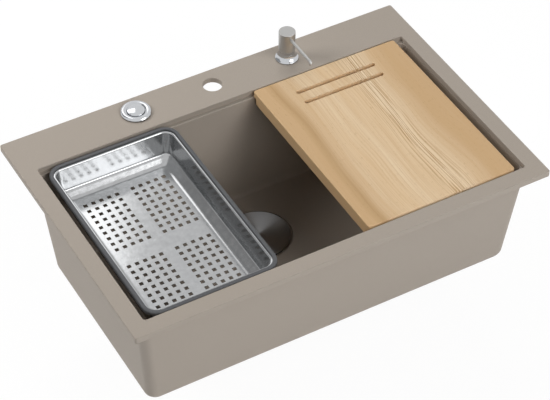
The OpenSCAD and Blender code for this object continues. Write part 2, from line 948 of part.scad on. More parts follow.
// A helical spring as one unbroken tube, standing on z = 0.
module coil(r, wire, height, turns) {
    steps = 16;
    sides = 8;
    last = turns * steps * sides;
    pitch = (height - wire) / turns;
    points = [
        for (i = [0:turns * steps])
            for (s = [0:sides - 1])
                let (a = 360 * s / sides, q = i / steps, rr = r + wire / 2 * cos(a))
                    [rr * cos(360 * q), rr * sin(360 * q), wire / 2 + pitch * q + wire / 2 * sin(a)]
    ];
    walls = [
        for (i = [0:turns * steps - 1])
            for (s = [0:sides - 1])
                let (a = i * sides + s, b = i * sides + (s + 1) % sides)
                    each [[a, b, b + sides], [a, b + sides, a + sides]]
    ];
    near_cap = [for (s = [1:sides - 2]) [0, s + 1, s]];
    far_cap = [for (s = [1:sides - 2]) [last, last + s, last + s + 1]];
    polyhedron(points, concat(walls, near_cap, far_cap));
}

module knob_spring() {
    low = knob_house_z + knob_floor_t + free_gap;
    color(steel) at_knob() translate([0, 0, low]) coil(10, 1.4, knob_skirt_z - free_gap - low, 7);
}

module dispenser_gasket() {
    color(rubber) at_dispenser() tube(foot_d / 2 - 1, deck_hole_d / 2 + 0.5, flange_t, gasket_t);
}

// A bell that flares from the collar to the deck, with a threaded shank below.
module dispenser_foot() {
    r = foot_d / 2;
    z = foot_z;
    low = z + 1.2;
    flare = [
        for (i = [0:12])
            let (u = i / 12) [neck_r + (r - neck_r) * pow(1 - u, 2.2), low + (foot_top - low) * u]
    ];
    color(polished) at_dispenser() difference() {
        union() {
            rotate_extrude() polygon(concat(
                [[0, z], [r - 0.4, z], [r, z + 0.4]], flare, [[0, foot_top]]
            ));
            bar(shank_r, shank_z, z - shank_z + bite);
            bar(sleeve_r, seat_step + 1, z - seat_step);
        }
        bar(shank_in_r, shank_z - bite, foot_top - shank_z + 2 * bite);
        bar(collar_r + fixed_gap, foot_top - collar_spigot_h, collar_spigot_h + bite);
    }
}

// A collar pressed into the top of the foot; the head's skirt slides down over it.
module dispenser_collar() {
    color(polished) at_dispenser() difference() {
        union() {
            bar(neck_r, foot_top, neck_top - foot_top);
            bar(collar_r, foot_top - collar_spigot_h, collar_spigot_h + bite);
        }
        bar(shank_in_r, foot_top - collar_spigot_h - bite, neck_top - foot_top + collar_spigot_h + 2 * bite);
    }
}

module dispenser_washer() {
    color(rubber) at_dispenser() deck_washer(shank_r + fixed_gap);
}

module dispenser_nut() {
    color(steel) at_dispenser() deck_nut(shank_r + fixed_gap);
}

// Half of the bottle's outline; the inner outline is the same shape one wall smaller.
module bottle_outline(inset, top) {
    r = bottle_d / 2 - inset;
    neck = bottle_neck_r - inset;
    z1 = bottle_top - bottle_neck_h - inset / 2;
    z3 = bottle_top - bottle_h + inset;
    polygon([
        [0, top],
        [neck, top],
        [neck, z1],
        [neck + 0.7 * (r - neck), z1 - 0.45 * bottle_shoulder],
        [r, z1 - bottle_shoulder],
        [r, z3 + 5],
        [r - 5, z3],
        [0, z3]
    ]);
}

module soap_bottle() {
    color(white_plastic) at_dispenser() rotate_extrude() difference() {
        bottle_outline(0, bottle_top);
        bottle_outline(bottle_wall, bottle_top + bite);
    }
}

// The pump's barrel hangs in the foot by its flange; a nipple below takes the dip tube.
module pump_cylinder() {
    cap = 4;
    wall = 3;
    color(white_plastic) at_dispenser() difference() {
        union() {
            bar(neck_r - free_gap, neck_top, pump_flange_t);
            bar(pump_r, pump_z, neck_top - pump_z);
            bar(shank_in_r - free_gap, neck_top - 6, 6);
            bar(dip_in_r - fixed_gap, pump_z - 6, 7);
        }
        bar(stem_r + running_gap, neck_top - cap - bite, cap + pump_flange_t + 2 * bite);
        bar(pump_in_r, pump_z + wall, neck_top - cap - pump_z - wall);
        bar(1.2, pump_z - 7, wall + 8);
    }
}

module pump_dip_tube() {
    color(white_plastic) at_dispenser() tube(dip_r, dip_in_r, dip_z, pump_z - dip_z);
}

module pump_spring() {
    low = pump_z + 3 + free_gap;
    color(steel) at_dispenser() translate([0, 0, low]) coil(5, 1, piston_z - free_gap - low, 6);
}

module pump_piston() {
    color(white_plastic) at_dispenser() {
        bar(pump_in_r - running_gap, piston_z, piston_h);
        bar(stem_r, piston_z, head_in_z + stem_socket - 0.5 - piston_z);
    }
}

// A plain round cap, hollow below, that turns on the stem and carries the spout.
module pump_head() {
    r = head_d / 2;
    top = neck_z + head_h;
    edge = 1;
    color(steel) at_dispenser() difference() {
        rotate_extrude() polygon([
            [0, neck_z],
            [r, neck_z],
            [r, top - edge],
            [r - 0.3 * edge, top - 0.3 * edge],
            [r - edge, top],
            [0, top]
        ]);
        bar(head_skirt_r, neck_z - bite, head_hollow + bite);
        bar(stem_r + running_gap, head_in_z - bite, stem_socket + bite);
        bar(1.8, head_in_z, spout_z - head_in_z);
        translate([0, 0, spout_z]) rotate(180) y_bar(spout_r + fixed_gap, spout_start, r);
        translate([0, 0, spout_z]) rotate(180) y_bar(1.8, 0, spout_start + bite);
    }
}

// A thin tube from the head towards the bowl, turned down at its tip.
module pump_spout() {
    knee = spout_reach - spout_bend_r - spout_r;
    color(steel) at_dispenser() translate([0, 0, spout_z]) rotate(-90) {
        x_tube(spout_r, spout_in_r, spout_start, knee - spout_start);
        translate([knee, 0, -spout_bend_r]) quarter_bend(spout_r, spout_in_r, spout_bend_r, 0);
    }
}

// One level of the tray's wall, as a thin slab; the hulls below join the levels.
module tray_level(inset, r, z) {
    slab(tray_in_w - 2 * inset, tray_in_d - 2 * inset, r, z, 0.01);
}

// The tray's outline below its lip; grow is 0 for its inside and one sheet for its outside.
module tray_body(grow) {
    shelf = tray_draft + shelf_in;
    foot = tray_draft + tray_step_w;
    hull() {
        tray_level(-grow, tray_r + grow, lip_z + (grow == 0 ? bite : -0.01));
        tray_level(tray_draft - grow, tray_r - 3 + grow, tray_step_z);
    }
    hull() {
        tray_level(tray_draft - grow, tray_r - 3 + grow, tray_step_z);
        tray_level(shelf - grow, tray_foot_r + grow, tray_step_z - shelf_drop - grow);
    }
    hull() {
        tray_level(shelf - grow, tray_foot_r + grow, tray_step_z - shelf_drop - grow);
        tray_level(foot - grow, tray_foot_r - 2 + grow, tray_floor_z - grow);
    }
}

// Four blocks of holes, to both sides of the middle and in front of and behind it.
module tray_holes() {
    for (sx = [-1, 1])
        for (sy = [-1, 1])
            for (i = [1:hole_cols])
                for (j = [1:hole_rows])
                    translate([sx * i * hole_pitch, sy * (j + 0.5) * hole_pitch - hole_shift, tray_floor_z])
                        cube([hole_side, hole_side, 4 * tray_t], center = true);
}

// A pressed tub with a flat lip all round, pierced in its floor.
module colander_tray() {
    color(steel) translate([tray_x, rim_mid_y]) difference() {
        union() {
            slab(tray_w - 2 * edging_wall, rest_d - 2 * edging_wall, tray_lip_r - edging_wall, lip_z - tray_t,
                tray_t);
            tray_body(tray_t);
        }
        tray_body(0);
        tray_holes();
    }
}

// A soft strip gripped on the lip all round; its foot rests on the ledges.
module tray_edging() {
    slot_in = edging_wall - edging_fit;
    color(edging_grey) translate([tray_x, rim_mid_y]) difference() {
        slab(tray_w, rest_d, tray_lip_r, ledge_z, tray_lip_h);
        slab(tray_w - 2 * edging_w, rest_d - 2 * edging_w, tray_lip_r - edging_w, ledge_z - bite,
            tray_lip_h + 2 * bite);
        slab(tray_w - 2 * slot_in, rest_d - 2 * slot_in, tray_lip_r - slot_in, lip_z - tray_t, tray_t);
    }
}

// A thick board with rebated ends that drop between the ledges, and two slots.
module chopping_board() {
    color(wood) translate([board_x, rim_mid_y]) difference() {
        union() {
            slab(board_w, rest_d, board_r, ledge_z, board_top - ledge_z);
            slab(board_w, tongue_d, board_r, board_low, ledge_z - board_low + bite);
        }
        for (y = [slot_y, slot_y - slot_pitch])
            translate([0, y]) slab(slot_l, slot_w, slot_w / 2 - 0.01, board_low - bite, board_t + 2 * bite);
    }
}

sink_bowl();
flange_seal();
waste_top_gasket();
waste_flange();
waste_lower_gasket();
waste_body();
waste_bolt();
lift_guide();
lift_guide_nut();
lift_pin();
strainer_basket();
strainer_seal();
waste_cover();
outlet_nut();
outlet_seal();
outlet_socket();
outlet_pipe();
outlet_bend();
outlet_tail_nut();
outlet_tail_pipe();
overflow_plate();
overflow_screw();
overflow_gasket();
overflow_elbow();
overflow_upper_nut();
overflow_down_pipe();
overflow_bend();
overflow_cross_pipe();
overflow_lower_nut();
knob_gasket();
knob_ring();
knob_washer();
knob_nut();
knob_housing();
knob_cable_gland();
knob_button();
knob_plunger();
knob_spring();
dispenser_gasket();
dispenser_foot();
dispenser_collar();
dispenser_washer();
dispenser_nut();
soap_bottle();
pump_cylinder();
pump_dip_tube();
pump_spring();
pump_piston();
pump_head();
pump_spout();
colander_tray();
tray_edging();
chopping_board();
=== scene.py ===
"""The looks of a workstation kitchen sink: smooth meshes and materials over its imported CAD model."""
import json
import math

import bmesh
import bpy
from mathutils import Matrix, Vector


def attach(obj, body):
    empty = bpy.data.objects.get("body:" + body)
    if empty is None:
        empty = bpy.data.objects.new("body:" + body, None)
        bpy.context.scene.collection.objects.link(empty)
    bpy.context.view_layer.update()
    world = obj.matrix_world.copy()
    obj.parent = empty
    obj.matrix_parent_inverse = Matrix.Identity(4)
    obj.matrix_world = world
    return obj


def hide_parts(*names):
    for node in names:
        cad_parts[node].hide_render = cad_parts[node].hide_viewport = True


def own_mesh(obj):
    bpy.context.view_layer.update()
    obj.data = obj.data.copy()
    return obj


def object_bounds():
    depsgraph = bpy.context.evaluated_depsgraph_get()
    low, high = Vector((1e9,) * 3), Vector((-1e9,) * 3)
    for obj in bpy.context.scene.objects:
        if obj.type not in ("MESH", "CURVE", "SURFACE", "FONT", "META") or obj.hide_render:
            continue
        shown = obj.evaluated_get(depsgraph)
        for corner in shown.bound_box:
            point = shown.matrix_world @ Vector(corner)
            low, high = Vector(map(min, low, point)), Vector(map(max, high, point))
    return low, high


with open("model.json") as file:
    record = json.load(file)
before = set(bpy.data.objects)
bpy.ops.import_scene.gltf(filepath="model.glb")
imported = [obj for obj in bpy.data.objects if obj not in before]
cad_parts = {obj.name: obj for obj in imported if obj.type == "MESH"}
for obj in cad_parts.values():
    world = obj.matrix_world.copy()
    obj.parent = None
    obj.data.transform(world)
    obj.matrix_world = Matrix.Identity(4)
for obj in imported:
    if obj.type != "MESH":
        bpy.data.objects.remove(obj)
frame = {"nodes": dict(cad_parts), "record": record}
cad_box = [list(corner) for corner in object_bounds()]
scene = bpy.context.scene
scene.view_settings.view_transform = "Standard"
MM = 0.001
WHITE = (1, 1, 1, 1)


# ---------------------------------------------------------------- colours and node helpers
def lin(code):
    """An sRGB hex colour as the linear RGBA that nodes take."""
    values = [int(code[i:i + 2], 16) / 255 for i in (1, 3, 5)]
    return tuple(v / 12.92 if v <= 0.04045 else ((v + 0.055) / 1.055) ** 2.4 for v in values) + (1.0,)


def add(tree, kind, inputs=None, **settings):
    """Adds a node. inputs maps an input's name or number to a value, or to an output socket to link."""
    node = tree.nodes.new(kind)
    for key, value in settings.items():
        setattr(node, key, value)
    for key, value in (inputs or {}).items():
        socket = node.inputs[key]
        if isinstance(value, bpy.types.NodeSocket):
            tree.links.new(value, socket)
        else:
            socket.default_value = value
    return node


def blank(name):
    """A new material: itself, its empty tree, and Object coordinates in metres."""
    material = bpy.data.materials.new(name)
    material.use_nodes = True
    tree = material.node_tree
    tree.nodes.clear()
    return material, tree, add(tree, "ShaderNodeTexCoord").outputs["Object"]


# ---------------------------------------------------------------- materials
def granite_composite():
    """Quartz sand in resin, moulded in one piece: warm grey, paler and darker grains, dull, faintly rough."""
    material, tree, at = blank("granite_composite_moulded")
    # Fine sand of 0.4 mm, the grains of 0.9 mm that stand out, and clouds of 70 mm from the pour.
    sand = add(tree, "ShaderNodeTexNoise", {
        "Vector": at, "Scale": 1 / (0.4 * MM), "Detail": 3.0, "Roughness": 0.7,
    })
    grains = add(tree, "ShaderNodeTexNoise", {
        "Vector": at, "Scale": 1 / (0.9 * MM), "Detail": 2.0, "Roughness": 0.6,
    })
    cloud = add(tree, "ShaderNodeTexNoise", {"Vector": at, "Scale": 1 / (70 * MM), "Detail": 2.0})
    body = add(tree, "ShaderNodeMapRange", {"Value": sand.outputs[0], "From Min": 0.3, "From Max": 0.72})
    pale = add(tree, "ShaderNodeMapRange", {
        "Value": grains.outputs[0], "From Min": 0.66, "From Max": 0.72, "To Max": 0.55,
    })
    dark = add(tree, "ShaderNodeMapRange", {
        "Value": grains.outputs[0], "From Min": 0.33, "From Max": 0.27, "To Max": 0.5,
    })
    veil = add(tree, "ShaderNodeMapRange", {"Value": cloud.outputs[0], "To Max": 0.12})
    base = add(tree, "ShaderNodeMix", {
        0: body.outputs[0], 6: lin("#A2988D"), 7: lin("#B4AA9F"),
    }, data_type="RGBA")
    base = add(tree, "ShaderNodeMix", {
        0: pale.outputs[0], 6: base.outputs[2], 7: lin("#C6BDB1"),
    }, data_type="RGBA")
    base = add(tree, "ShaderNodeMix", {
        0: dark.outputs[0], 6: base.outputs[2], 7: lin("#877E74"),
    }, data_type="RGBA")
    base = add(tree, "ShaderNodeMix", {
        0: veil.outputs[0], 6: base.outputs[2], 7: lin("#AAA095"),
    }, data_type="RGBA")
    gloss = add(tree, "ShaderNodeMapRange", {"Value": grains.outputs[0], "To Min": 0.52, "To Max": 0.7})
    relief = add(tree, "ShaderNodeBump", {"Height": sand.outputs[0], "Distance": 0.05 * MM, "Strength": 0.5})
    surface = add(tree, "ShaderNodeBsdfPrincipled", {
        "Base Color": base.outputs[2], "Roughness": gloss.outputs[0], "IOR": 1.5, "Normal": relief.outputs[0],
    })
    add(tree, "ShaderNodeOutputMaterial", {"Surface": surface.outputs[0]})
    return material


def brushed_stainless():
    """Pressed stainless sheet, belt brushed: a satin mirror with lines that run down the walls."""
    material, tree, at = blank("stainless_sheet_brushed")
    # The belt's scratches are 0.05 mm apart. They are drawn 0.6 mm apart so that they show, and 50 mm long.
    fine = add(tree, "ShaderNodeMapping", {
        "Vector": at, "Scale": (1 / (0.6 * MM), 1 / (0.6 * MM), 1 / (50 * MM)),
    })
    lines = add(tree, "ShaderNodeTexNoise", {
        "Vector": fine.outputs[0], "Scale": 1.0, "Detail": 2.0, "Roughness": 0.6,
    })
    # The press leaves shallow upright bands 11 mm wide.
    wide = add(tree, "ShaderNodeMapping", {
        "Vector": at, "Scale": (1 / (11 * MM), 1 / (11 * MM), 1 / (500 * MM)),
    })
    bands = add(tree, "ShaderNodeTexNoise", {
        "Vector": wide.outputs[0], "Scale": 1.0, "Detail": 2.0, "Roughness": 0.6,
    })
    dull = add(tree, "ShaderNodeMapRange", {"Value": lines.outputs[0], "To Max": 0.25})
    base = add(tree, "ShaderNodeMix", {
        0: bands.outputs[0], 6: lin("#A6A7A8"), 7: lin("#BCBDBE"),
    }, data_type="RGBA")
    base = add(tree, "ShaderNodeMix", {
        0: dull.outputs[0], 6: base.outputs[2], 7: lin("#989A9B"),
    }, data_type="RGBA")
    gloss = add(tree, "ShaderNodeMapRange", {"Value": bands.outputs[0], "To Min": 0.12, "To Max": 0.22})
    relief = add(tree, "ShaderNodeBump", {"Height": bands.outputs[0], "Distance": 0.2 * MM, "Strength": 0.4})
    surface = add(tree, "ShaderNodeBsdfPrincipled", {
        "Base Color": base.outputs[2], "Metallic": 1.0,
        "Roughness": gloss.outputs[0], "Normal": relief.outputs[0],
    })
    add(tree, "ShaderNodeOutputMaterial", {"Surface": surface.outputs[0]})
    return material


def turned_stainless():
    """Stainless disc brushed in circles on a lathe: its highlight is drawn out into a wedge."""
    material, tree, _ = blank("stainless_disc_turned")
    # The UV map's u runs once round the disc and its v is the radius in metres. The rings are 0.3 mm apart.
    round_disc = add(tree, "ShaderNodeUVMap", uv_map="turned")
    along = add(tree, "ShaderNodeTangent", direction_type="UV_MAP", uv_map="turned")
    spread = add(tree, "ShaderNodeMapping", {
        "Vector": round_disc.outputs[0], "Scale": (3.0, 1 / (0.3 * MM), 1.0),
    })
    rings = add(tree, "ShaderNodeTexNoise", {
        "Vector": spread.outputs[0], "Scale": 1.0, "Detail": 3.0, "Roughness": 0.7,
    })
    base = add(tree, "ShaderNodeMix", {
        0: rings.outputs[0], 6: lin("#8F9092"), 7: lin("#C2C3C4"),
    }, data_type="RGBA")
    gloss = add(tree, "ShaderNodeMapRange", {"Value": rings.outputs[0], "To Min": 0.28, "To Max": 0.42})
    relief = add(tree, "ShaderNodeBump", {"Height": rings.outputs[0], "Distance": 0.02 * MM, "Strength": 0.5})
    surface = add(tree, "ShaderNodeBsdfPrincipled", {
        "Base Color": base.outputs[2], "Metallic": 1.0,
        "Roughness": gloss.outputs[0], "Normal": relief.outputs[0],
        "Anisotropic": 0.9, "Anisotropic Rotation": 0.25, "Tangent": along.outputs[0],
    })
    add(tree, "ShaderNodeOutputMaterial", {"Surface": surface.outputs[0]})
    return material


def blasted_stainless():
    """Stainless blasted with fine beads: an even silver satin without a clear reflection."""
    material, tree, at = blank("stainless_bead_blasted")
    # Bead marks of 0.1 mm, drawn at 0.35 mm so that they show.
    marks = add(tree, "ShaderNodeTexNoise", {
        "Vector": at, "Scale": 1 / (0.35 * MM), "Detail": 3.0, "Roughness": 0.65,
    })
    base = add(tree, "ShaderNodeMix", {
        0: marks.outputs[0], 6: lin("#A9A8A6"), 7: lin("#C2C1BF"),
    }, data_type="RGBA")
    gloss = add(tree, "ShaderNodeMapRange", {"Value": marks.outputs[0], "To Min": 0.4, "To Max": 0.54})
    relief = add(tree, "ShaderNodeBump", {"Height": marks.outputs[0], "Distance": 0.02 * MM, "Strength": 0.4})
    surface = add(tree, "ShaderNodeBsdfPrincipled", {
        "Base Color": base.outputs[2], "Metallic": 1.0,
        "Roughness": gloss.outputs[0], "Normal": relief.outputs[0],
    })
    add(tree, "ShaderNodeOutputMaterial", {"Surface": surface.outputs[0]})
    return material


def polished_metal(name, colour, roughness):
    """Buffed steel or chrome plate: a clear mirror with faint wipe marks in its gloss."""
    material, tree, at = blank(name)
    # Wipe marks about 6 mm wide.
    wipes = add(tree, "ShaderNodeTexNoise", {
        "Vector": at, "Scale": 1 / (6 * MM), "Detail": 4.0, "Roughness": 0.7, "Distortion": 0.4,
    })
    film = add(tree, "ShaderNodeMapRange", {"Value": wipes.outputs[0], "To Max": 0.25})
    base = add(tree, "ShaderNodeMix", {
        0: film.outputs[0], 6: lin(colour), 7: lin("#A9ABAE"),
    }, data_type="RGBA")
    gloss = add(tree, "ShaderNodeMapRange", {
        "Value": wipes.outputs[0], "To Min": roughness * 0.6, "To Max": roughness * 1.8,
    })
    surface = add(tree, "ShaderNodeBsdfPrincipled", {
        "Base Color": base.outputs[2], "Metallic": 1.0, "Roughness": gloss.outputs[0],
    })
    add(tree, "ShaderNodeOutputMaterial", {"Surface": surface.outputs[0]})
    return material


def zinc_plated_steel():
    """Zinc-plated steel of nuts, pins and springs: blue-grey, dull, slightly mottled."""
    material, tree, at = blank("steel_zinc_plated")
    # The plating's spangle is about 4 mm across.
    spangle = add(tree, "ShaderNodeTexNoise", {
        "Vector": at, "Scale": 1 / (4 * MM), "Detail": 3.0, "Roughness": 0.6,
    })
    base = add(tree, "ShaderNodeMix", {
        0: spangle.outputs[0], 6: lin("#84878B"), 7: lin("#ADB0B3"),
    }, data_type="RGBA")
    gloss = add(tree, "ShaderNodeMapRange", {"Value": spangle.outputs[0], "To Min": 0.3, "To Max": 0.5})
    relief = add(tree, "ShaderNodeBump", {
        "Height": spangle.outputs[0], "Distance": 0.02 * MM, "Strength": 0.3,
    })
    surface = add(tree, "ShaderNodeBsdfPrincipled", {
        "Base Color": base.outputs[2], "Metallic": 1.0,
        "Roughness": gloss.outputs[0], "Normal": relief.outputs[0],
    })
    add(tree, "ShaderNodeOutputMaterial", {"Surface": surface.outputs[0]})
    return material


def moulded_plastic(name, light, dark, roughness, ior):
    """Moulded or extruded plastic or rubber: a spark-eroded skin and faint clouds where the melt flowed."""
    material, tree, at = blank(name)
    # A skin of 0.24 mm pits, and flow clouds of 33 mm.
    skin = add(tree, "ShaderNodeTexNoise", {"Vector": at, "Scale": 1 / (0.24 * MM), "Detail": 2.0})
    flow = add(tree, "ShaderNodeTexNoise", {"Vector": at, "Scale": 1 / (33 * MM), "Detail": 2.0})
    base = add(tree, "ShaderNodeMix", {0: flow.outputs[0], 6: lin(dark), 7: lin(light)}, data_type="RGBA")
    gloss = add(tree, "ShaderNodeMapRange", {
        "Value": skin.outputs[0], "To Min": roughness - 0.08, "To Max": roughness + 0.1,
    })
    relief = add(tree, "ShaderNodeBump", {"Height": skin.outputs[0], "Distance": 0.03 * MM, "Strength": 0.4})
    surface = add(tree, "ShaderNodeBsdfPrincipled", {
        "Base Color": base.outputs[2], "Roughness": gloss.outputs[0], "IOR": ior, "Normal": relief.outputs[0],
    })
    add(tree, "ShaderNodeOutputMaterial", {"Surface": surface.outputs[0]})
    return material


def oiled_beech():
    """Beech planed and oiled, grain front to rear: pale growth bands, an arched figure, fine dark lines."""
    material, tree, at = blank("beech_planed_oiled")
    # The grain wanders by 22 mm to each side over a length of 310 mm.
    wander = add(tree, "ShaderNodeMapping", {
        "Vector": at, "Scale": (1 / (170 * MM), 1 / (310 * MM), 1 / (170 * MM)),
    })
    drift = add(tree, "ShaderNodeTexNoise", {"Vector": wander.outputs[0], "Scale": 1.0, "Detail": 1.5})
    shift = add(tree, "ShaderNodeMapRange", {
        "Value": drift.outputs[0], "To Min": -22 * MM, "To Max": 22 * MM,
    })
    sideways = add(tree, "ShaderNodeCombineXYZ", {"X": shift.outputs[0]})
    grain = add(tree, "ShaderNodeVectorMath", {0: at, 1: sideways.outputs[0]}, operation="ADD")
    across = add(tree, "ShaderNodeSeparateXYZ", {"Vector": grain.outputs[0]})
    # Growth bands 29 mm wide, dark lines 2.4 mm apart and 200 mm long, pores 0.7 mm wide and 11 mm long.
    band_size = add(tree, "ShaderNodeMapping", {
        "Vector": grain.outputs[0], "Scale": (1 / (29 * MM), 1 / (620 * MM), 1 / (29 * MM)),
    })
    line_size = add(tree, "ShaderNodeMapping", {
        "Vector": grain.outputs[0], "Scale": (1 / (2.4 * MM), 1 / (200 * MM), 1 / (2.4 * MM)),
    })
    pore_size = add(tree, "ShaderNodeMapping", {
        "Vector": at, "Scale": (1 / (0.7 * MM), 1 / (11 * MM), 1 / (0.7 * MM)),
    })
    bands = add(tree, "ShaderNodeTexNoise", {
        "Vector": band_size.outputs[0], "Scale": 1.0, "Detail": 3.0, "Roughness": 0.55,
    })
    lines = add(tree, "ShaderNodeTexNoise", {
        "Vector": line_size.outputs[0], "Scale": 1.0, "Detail": 3.0, "Roughness": 0.6,
    })
    pores = add(tree, "ShaderNodeTexNoise", {"Vector": pore_size.outputs[0], "Scale": 1.0, "Detail": 1.0})
    # Late wood: a dark streak 30 mm wide at x 86, the finely lined arch at x 240, and the browner sides
    # of the plank, from 60 mm off its heart at x 195.
    from_streak = add(tree, "ShaderNodeMath", {0: across.outputs["X"], 1: 86 * MM}, operation="SUBTRACT")
    from_streak = add(tree, "ShaderNodeMath", {0: from_streak.outputs[0]}, operation="ABSOLUTE")
    streak = add(tree, "ShaderNodeMapRange", {
        "Value": from_streak.outputs[0], "From Max": 15 * MM, "To Min": 1.0, "To Max": 0.0,
    })
    from_arch = add(tree, "ShaderNodeMath", {0: across.outputs["X"], 1: 240 * MM}, operation="SUBTRACT")
    from_arch = add(tree, "ShaderNodeMath", {0: from_arch.outputs[0]}, operation="ABSOLUTE")
    arch = add(tree, "ShaderNodeMapRange", {
        "Value": from_arch.outputs[0], "From Min": 7 * MM, "From Max": 29 * MM, "To Min": 0.8, "To Max": 0.0,
    })
    from_heart = add(tree, "ShaderNodeMath", {0: across.outputs["X"], 1: 195 * MM}, operation="SUBTRACT")
    from_heart = add(tree, "ShaderNodeMath", {0: from_heart.outputs[0]}, operation="ABSOLUTE")
    plank_sides = add(tree, "ShaderNodeMapRange", {
        "Value": from_heart.outputs[0], "From Min": 60 * MM, "From Max": 110 * MM, "To Max": 0.9,
    })
    pale_band = add(tree, "ShaderNodeMapRange", {"Value": bands.outputs[0], "From Min": 0.3, "From Max": 0.7})
    soft_line = add(tree, "ShaderNodeMapRange", {
        "Value": lines.outputs[0], "From Min": 0.42, "From Max": 0.62, "To Max": 0.4,
    })
    sharp_line = add(tree, "ShaderNodeMapRange", {
        "Value": lines.outputs[0], "From Min": 0.5, "From Max": 0.56,
    })
    arch_line = add(tree, "ShaderNodeMath", {
        0: sharp_line.outputs[0], 1: arch.outputs[0],
    }, operation="MULTIPLY")
    streak_depth = add(tree, "ShaderNodeMapRange", {"Value": lines.outputs[0], "To Min": 0.2, "To Max": 0.75})
    streak_line = add(tree, "ShaderNodeMath", {
        0: streak.outputs[0], 1: streak_depth.outputs[0],
    }, operation="MULTIPLY")
    pore = add(tree, "ShaderNodeMapRange", {
        "Value": pores.outputs[0], "From Min": 0.68, "From Max": 0.74, "To Max": 0.5,
    })
    base = add(tree, "ShaderNodeMix", {
        0: pale_band.outputs[0], 6: lin("#E2C49C"), 7: lin("#F0DABA"),
    }, data_type="RGBA")
    base = add(tree, "ShaderNodeMix", {
        0: plank_sides.outputs[0], 6: base.outputs[2], 7: lin("#CBA87C"),
    }, data_type="RGBA")
    base = add(tree, "ShaderNodeMix", {
        0: soft_line.outputs[0], 6: base.outputs[2], 7: lin("#CCA77A"),
    }, data_type="RGBA")
    base = add(tree, "ShaderNodeMix", {
        0: arch_line.outputs[0], 6: base.outputs[2], 7: lin("#B48F60"),
    }, data_type="RGBA")
    base = add(tree, "ShaderNodeMix", {
        0: streak_line.outputs[0], 6: base.outputs[2], 7: lin("#A98557"),
    }, data_type="RGBA")
    base = add(tree, "ShaderNodeMix", {
        0: pore.outputs[0], 6: base.outputs[2], 7: lin("#A07A4D"),
    }, data_type="RGBA")
    gloss = add(tree, "ShaderNodeMapRange", {"Value": lines.outputs[0], "To Min": 0.44, "To Max": 0.6})
    relief = add(tree, "ShaderNodeBump", {"Height": lines.outputs[0], "Distance": 0.08 * MM, "Strength": 0.5})
    surface = add(tree, "ShaderNodeBsdfPrincipled", {
        "Base Color": base.outputs[2], "Roughness": gloss.outputs[0], "IOR": 1.5, "Normal": relief.outputs[0],
    })
    add(tree, "ShaderNodeOutputMaterial", {"Surface": surface.outputs[0]})
    return material


MATERIALS = {
    "granite": granite_composite(),
    "brushed_sheet": brushed_stainless(),
    "turned_steel": turned_stainless(),
    "satin_steel": blasted_stainless(),
    "polished_steel": polished_metal("stainless_polished", "#B9BBBD", 0.16),
    "chrome": polished_metal("chrome_plated", "#C6C8CB", 0.09),
    "plain_steel": zinc_plated_steel(),
    "rubber": moulded_plastic("rubber_moulded", "#2C2C2D", "#222223", 0.7, 1.52),
    "soft_grey": moulded_plastic("soft_plastic_extruded", "#545557", "#4C4D50", 0.5, 1.5),
    "dark_plastic": moulded_plastic("polypropylene_moulded_dark", "#3E3F42", "#343538", 0.45, 1.49),
    "light_plastic": moulded_plastic("polypropylene_moulded_pale", "#E2E2DC", "#D6D6CF", 0.42, 1.49),
    "wood": oiled_beech(),
}
for part in frame["record"]["subparts"]:
    node = frame["nodes"][part["node"]]
    node.data.materials.clear()
    node.data.materials.append(MATERIALS[part["material_slot"]])


# ---------------------------------------------------------------- mesh helpers, in millimetres
def edges_of(verts):
    """The edges that join some vertices of one loop."""
    inside = set(verts)
    return [e for e in {e for v in verts for e in v.link_edges} if inside.issuperset(e.verts)]


def outline(bm, x0, x1, y0, y1, r, z, corner=7, cuts=0):
    """A rectangle of edges whose four corners are bevelled to a radius; cuts adds points on its sides."""
    corners = [bm.verts.new(Vector(p) * MM) for p in ((x1, y1, z), (x0, y1, z), (x0, y0, z), (x1, y0, z))]
    bm.faces.new(corners)
    made = bmesh.ops.bevel(bm, geom=corners, affect="VERTICES", offset=r * MM, segments=corner, profile=0.5,
                           material=-1)
    face = made["verts"][0].link_faces[0]
    if cuts:
        sides = sorted(face.edges, key=lambda e: -e.calc_length())[:4]
        bmesh.ops.subdivide_edges(bm, edges=sides, cuts=cuts)
    edges = list(face.edges)
    bmesh.ops.delete(bm, geom=[face], context="FACES_ONLY")
    return edges


def moved(value, old, old_r, new, new_r):
    """Where a coordinate goes when a side (low, high) and its corner radius change."""
    if value > old[1] - old_r:
        return new[1] - new_r + (value - old[1] + old_r) * new_r / old_r
    if value < old[0] + old_r:
        return new[0] + new_r - (old[0] + old_r - value) * new_r / old_r
    share = (value - old[0] - old_r) / (old[1] - old[0] - 2 * old_r)
    return new[0] + new_r + share * (new[1] - new[0] - 2 * new_r)


def walls(bm, sections, corner=7, cuts=0):
    """Extrudes a round-cornered outline through sections of x0, x1, y0, y1, radius and z. Gives their loops."""
    loops = [outline(bm, *sections[0], corner=corner, cuts=cuts)]
    for old, new in zip(sections, sections[1:]):
        made = bmesh.ops.extrude_edge_only(bm, edges=loops[-1])["geom"]
        verts = [g for g in made if isinstance(g, bmesh.types.BMVert)]
        for v in verts:
            x = moved(v.co.x / MM, old[0:2], old[4], new[0:2], new[4])
            y = moved(v.co.y / MM, old[2:4], old[4], new[2:4], new[4])
            v.co = Vector((x, y, new[5])) * MM
        loops.append(edges_of(verts))
    return loops


def circle(bm, x, y, r, z, count=64):
    place = Matrix.Translation(Vector((x, y, z)) * MM)
    made = bmesh.ops.create_circle(bm, segments=count, radius=r * MM, matrix=place)
    return edges_of(made["verts"])


def bridge(bm, *loops):
    """Skins the space between each loop and the next."""
    for a, b in zip(loops, loops[1:]):
        bmesh.ops.bridge_loops(bm, edges=a + b)


